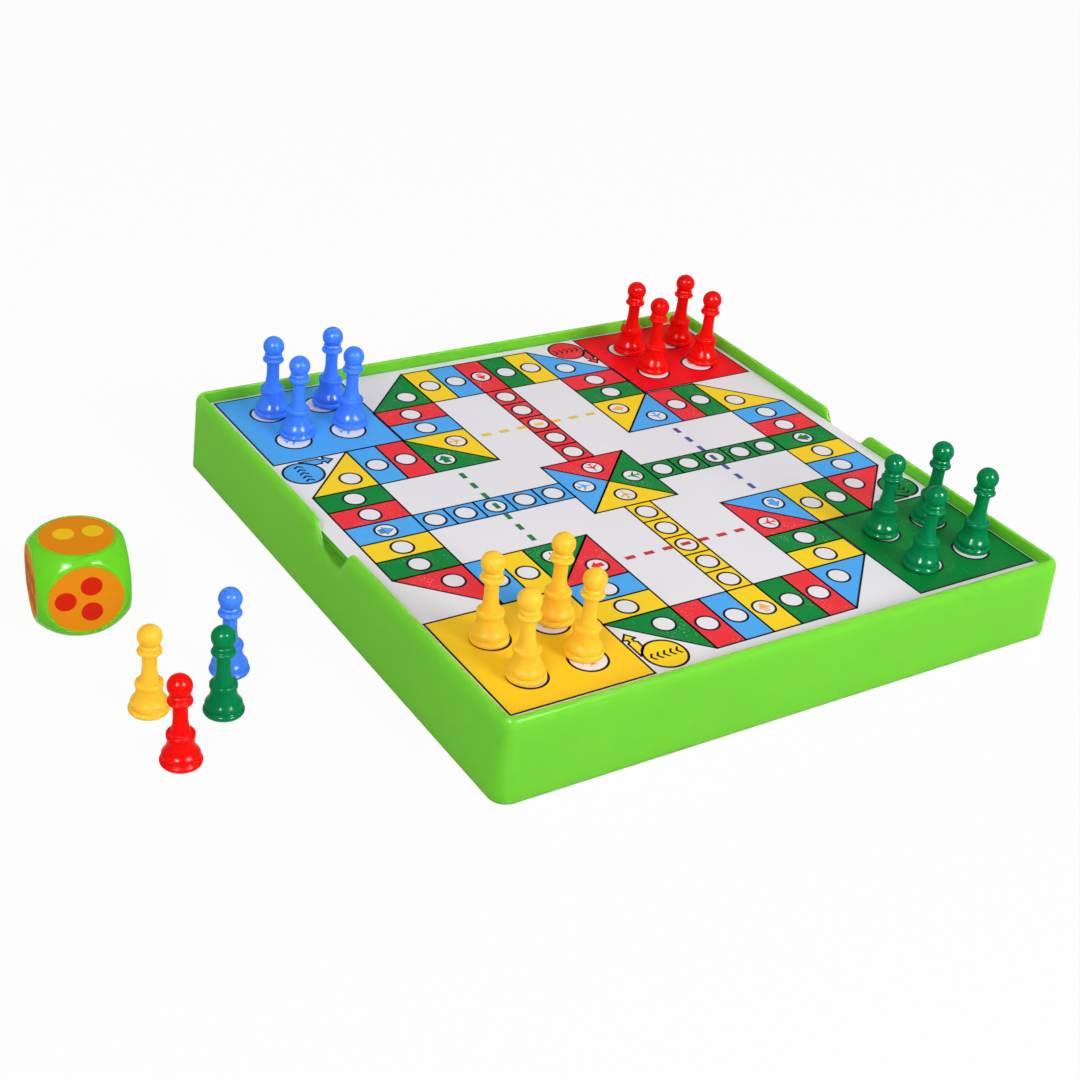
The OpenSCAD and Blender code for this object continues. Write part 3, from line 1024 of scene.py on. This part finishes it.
angles = pawn_angles()
seam = np.exp(-(np.sin(angles) / np.sin(seam_width / 2)) ** 2)
# Lean of each pawn in mm at the height of its ball: the four on the board, then the spare one
leans = {
    "yellow": [(-0.7, 0.5), (-1.4, 0.0), (0.2, 0.1), (0.0, -1.4), (0.1, -0.9)],
    "blue": [(-0.1, -0.6), (0.1, -0.2), (0.1, -0.4), (0.0, -0.5), (-0.2, -0.5)],
    "red": [(-1.0, -1.6), (-0.8, -0.1), (-1.6, -2.2), (-0.2, -0.8), (-0.4, -0.1)],
    "green": [(-0.3, -0.5), (-0.1, -0.2), (0.0, 0.0), (0.1, 0.4), (-0.4, -0.1)],
}
# Two pawns stand off the middle of their CAD place, by so many mm
nudges = {"yellow_pawn_1": (0.8, -0.35), "yellow_pawn_2": (0.6, -0.25)}


def pawn_skin(place, turn, lean):
    """Outline carried round the axis: radius and height from the profile, angle from the columns, with the
    radius raised a little along the two seams. The lean moves each ring in proportion to its height."""
    radius = profile[:, :1] + seam_height * seam
    height = np.broadcast_to(profile[:, 1:], radius.shape)
    rings = np.stack((radius * np.cos(angles + turn), radius * np.sin(angles + turn), height), -1)
    axis = np.array([*lean, ball_z]) / ball_z
    rings = (rings * (1, 1, 0) + rings[..., 2:] * axis) * mm + place
    return loft(rings, place, place + axis * pawn_h * mm)


for i, (colour, plastic) in enumerate(pawn_plastics.items()):
    nodes = [f"{colour}_pawn_{number}" for number in range(1, 5)] + [f"{colour}_spare_pawn"]
    for j, (node, lean) in enumerate(zip(nodes, leans[colour])):
        low, high = (np.array(corner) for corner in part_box(node))
        foot = np.array([(low[0] + high[0]) / 2, (low[1] + high[1]) / 2, low[2]])
        foot[:2] += np.array(nudges.get(node, (0, 0))) * mm
        skin = pawn_skin(foot, golden_angle * (len(nodes) * i + j), lean)
        pawn = add_piece("turned_" + node, [skin], plastic, node)
        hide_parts(node)
print("Pawns of each colour:", {colour: len(rows) for colour, rows in leans.items()})

# %% [markdown]
# ## The die
# The die is a cube whose corners and edges are taken off by a ball: every direction from its middle ends
# either on a flat face or on the ball. A smooth minimum of the two distances rounds the line where they
# meet. The six stickers keep their CAD solids, a hair proud of the faces, and the pips are films of ink on
# top of them.

# %% Die body
die_box = [np.array(corner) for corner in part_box("die_body")]
die_h = die_box[1][2] - die_box[0][2]
die_centre = (die_box[0] + die_box[1]) / 2
die_turn = np.radians(-10)
die_ball_r = 18.5 * mm
sticker_proud = 0.05 * mm
soften = 0.18 * mm
die_rows = 180
die_columns = 288
die_axes = upright_turn(die_turn)


def die_skin():
    """Distance from the middle in every direction of latitude and longitude: the smooth minimum of the
    ball's radius and of the way to the cube's faces, which is half its width over the largest direction
    cosine."""
    latitude = np.linspace(-np.pi / 2, np.pi / 2, die_rows + 2)[1:-1, None]
    longitude = np.linspace(0, 2 * np.pi, die_columns, endpoint=False)
    level = np.cos(latitude)
    cosines = (level * np.cos(longitude), level * np.sin(longitude), np.sin(latitude))
    direction = np.stack(np.broadcast_arrays(*cosines), -1)
    half = die_h / 2 - sticker_proud
    to_cube = half / np.abs(direction).max(-1)
    to_edge = -soften * np.logaddexp(-to_cube / soften, -die_ball_r / soften)
    rings = direction * to_edge[..., None] @ die_axes + die_centre
    return loft(rings, die_centre - (0, 0, half), die_centre + (0, 0, half))


die = add_piece("die_moulding", [die_skin()], die_green, "die")
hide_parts("die_body")
print("Die height in mm:", round(die_h / mm, 2))

# %% [markdown]
# ## Stickers and pips
# The stickers are orange paper with pips in a second colour. Each face has its own turn and a pattern of
# places. The printer didn't centre the patterns well, so some sit a little off the middle. A faint shine
# pales the face that is seen at the flattest angle.

# %% Stickers and pips
sticker_shine = 0.004
sticker_specks = 0.1
pip_colours = {
    "red": (0.600, 0.018, 0.006),
    "yellow": (0.800, 0.510, 0.014),
    "brown": (0.545, 0.120, 0.008),
}
sticker_orange = ink("sticker_orange", (0.725, 0.238, 0.008), sticker_specks, sticker_shine)
pip_inks = {name: ink("pip_" + name, colour, sticker_specks, sticker_shine)
            for name, colour in pip_colours.items()}
pip_r = 3.2 * mm
pip_lift = 0.03 * mm
# Patterns of pips, in mm from the middle of a face
single = np.zeros((1, 2))
pair = np.array([(-3.6, 1.6), (5.1, 1.6)])
triangle = arc((0, 0), 5.1, 180, -60, 3)
square = np.array([(-4.4, -4.4), (4.4, -4.4), (4.4, 4.4), (-4.4, 4.4)])
wide_square = 1.15 * square
rows_of_three = np.array([(x, y) for y in (-3.4, 3.4) for x in (-6.5, 0, 6.5)])
# Pips of a face: outward direction, direction to the right seen from outside, places in mm, colour
die_faces = {
    1: ((1, 0, 0), (0, 1, 0), single, "red"),
    2: ((0, 0, 1), (1, 0, 0), pair, "yellow"),
    3: ((0, -1, 0), (1, 0, 0), triangle + (-0.9, 0), "red"),
    4: ((0, 1, 0), (-1, 0, 0), square, "brown"),
    5: ((0, 0, -1), (1, 0, 0), np.concatenate((wide_square, single)), "red"),
    6: ((-1, 0, 0), (0, -1, 0), rows_of_three + (-0.3, -0.9), "brown"),
}


def pips(outward, right, places):
    """Discs on a face of the die: a circle of points about each place, in the face's own right and up."""
    outward, right = np.array(outward, float), np.array(right, float)
    up = np.cross(outward, right)
    flat = np.concatenate([circle(place, pip_r / mm) for place in places]) * mm
    points = flat[:, :1] * right + flat[:, 1:] * up + outward * (die_h / 2 + pip_lift)
    faces = np.arange(len(flat)).reshape(len(places), circle_points)
    return points @ die_axes + die_centre, [faces]


for count, (outward, right, places, colour) in die_faces.items():
    discs = pips(outward, right, places)
    thicken(add_piece(f"pips_{count}", [discs], pip_inks[colour], "die"), pip_lift)
    repaint(f"die_sticker_{count}", sticker_orange)
print("Faces of the die:", len(die_faces))

# %% [markdown]
# ## Floor and background
# The photograph is a bright cut-out on white. The floor is pale and catches a faint shadow, and the world
# fills in light from all round. Where the camera or a reflection looks at the floor or past it, a plain
# white of strength 1 is mixed in, which lights nothing.

# %% Floor
floor_half = 4.0
floor_grey = 0.66
seen_white = 0.95


def seen_rays(tree):
    """1 for rays that look at a thing straight, in a reflection or through it, and 0 for the rest."""
    path = tree.nodes.new("ShaderNodeLightPath")
    total = path.outputs["Is Camera Ray"]
    for name in ("Is Glossy Ray", "Is Transmission Ray"):
        node = tree.nodes.new("ShaderNodeMath")
        node.operation = "MAXIMUM"
        tree.links.new(total, node.inputs[0])
        tree.links.new(path.outputs[name], node.inputs[1])
        total = node.outputs[0]
    return total


def mix_shaders(tree, factor, first, second, output):
    """First shader where the factor is 0, second where it is 1, led to the node that ends the tree."""
    mixed = tree.nodes.new("ShaderNodeMixShader")
    tree.links.new(factor, mixed.inputs[0])
    tree.links.new(first.outputs[0], mixed.inputs[1])
    tree.links.new(second.outputs[0], mixed.inputs[2])
    tree.links.new(mixed.outputs[0], tree.nodes[output].inputs[0])


floor_corners = rectangle(-floor_half, -floor_half, floor_half, floor_half)
floor_mesh = bpy.data.meshes.new("floor")
floor_mesh.from_pydata([(x, y, 0) for x, y in floor_corners], [], [(0, 1, 2, 3)])
floor = bpy.data.objects.new("floor", floor_mesh)
scene.collection.objects.link(floor)
floor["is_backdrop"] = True
floor_paint, tree, shader, _ = new_material("floor_white")
shader.inputs["Base Color"].default_value = (floor_grey, floor_grey, floor_grey, 1)
shader.inputs["Roughness"].default_value = 0.9
shader.inputs["Specular IOR Level"].default_value = 0.0
white = tree.nodes.new("ShaderNodeEmission")
mix_shaders(tree, remap(tree, seen_rays(tree), 0, 1, 0, seen_white), shader, white, "Material Output")
floor_mesh.materials.append(floor_paint)
print("Floor", 2 * floor_half, "m wide")

# %% World
world_fill = 0.52
world = bpy.data.worlds.new("studio")
world.use_nodes = True
scene.world = world
tree = world.node_tree
fill = tree.nodes["Background"]
seen = tree.nodes.new("ShaderNodeBackground")
for background, strength in ((fill, world_fill), (seen, 1.0)):
    background.inputs["Color"].default_value = (1, 1, 1, 1)
    background.inputs["Strength"].default_value = strength
mix_shaders(tree, seen_rays(tree), fill, seen, "World Output")
scene.view_settings.view_transform = "Standard"
print("World fill", world_fill)

# %% [markdown]
# ## Lights
# Two softboxes light the set, a strong one to the right of the camera and a weaker one to its left. Real
# ones also show as bright spots on balls and rims. A lamp that did both would wash out the flat print when
# it is seen against the light, so each softbox is split: one lamp gives the light and isn't reflected, and a
# second one near it is only reflected, and only by the moulded pieces.

# %% Softboxes
lit_point = Vector((-0.02, 0.0, 0.02))
softbox_distance = 1.3
key_direction = (0.31, -0.95)
fill_direction = (-0.79, -0.61)
moulded_pieces = bpy.data.collections.new("moulded_pieces")
for piece in scene.objects:
    if piece.name.startswith(("casing_moulding", "turned_", "die_moulding")):
        moulded_pieces.objects.link(piece)


def softbox(name, direction, elevation, size, level):
    """Square area light that looks at the set from a direction on the table and an elevation, and isn't
    reflected. Level is the share of white that a white card facing it would show, so its power is level
    times pi squared times the distance squared."""
    data = bpy.data.lights.new(name, "AREA")
    data.shape = "SQUARE"
    data.size = size
    data.energy = level * np.pi ** 2 * softbox_distance ** 2
    flat = Vector((*direction, 0)).normalized()
    tilt = np.radians(elevation)
    towards = flat * np.cos(tilt) + Vector((0, 0, 1)) * np.sin(tilt)
    lamp = bpy.data.objects.new(name, data)
    lamp.location = lit_point + towards * softbox_distance
    lamp.rotation_euler = towards.to_track_quat("Z", "Y").to_euler()
    lamp.visible_glossy = False
    scene.collection.objects.link(lamp)
    return lamp


def glint(name, direction, elevation, width, height, radiance):
    """Upright area light that only reflections on the moulded pieces see. Its level is its radiance times
    its area over pi times the distance squared."""
    level = radiance * width * height / (np.pi * softbox_distance ** 2)
    lamp = softbox(name, direction, elevation, width, level)
    lamp.data.shape = "RECTANGLE"
    lamp.data.size_y = height
    lamp.visible_glossy = True
    lamp.visible_diffuse = False
    lamp.visible_transmission = False
    lamp.light_linking.receiver_collection = moulded_pieces


softbox("key_softbox", key_direction, elevation=26, size=0.50, level=0.54)
softbox("fill_softbox", fill_direction, elevation=36, size=0.50, level=0.36)
glint("key_glint", key_direction, elevation=36, width=0.38, height=0.44, radiance=700)
glint("fill_glint", fill_direction, elevation=36, width=0.36, height=0.42, radiance=600)

# %% [markdown]
# ## Size
# The box of the finished model is printed in millimetres.

# %% Write the sizes and finish
low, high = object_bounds()
print("Visual box in mm:", [round(v / mm, 1) for v in high - low])
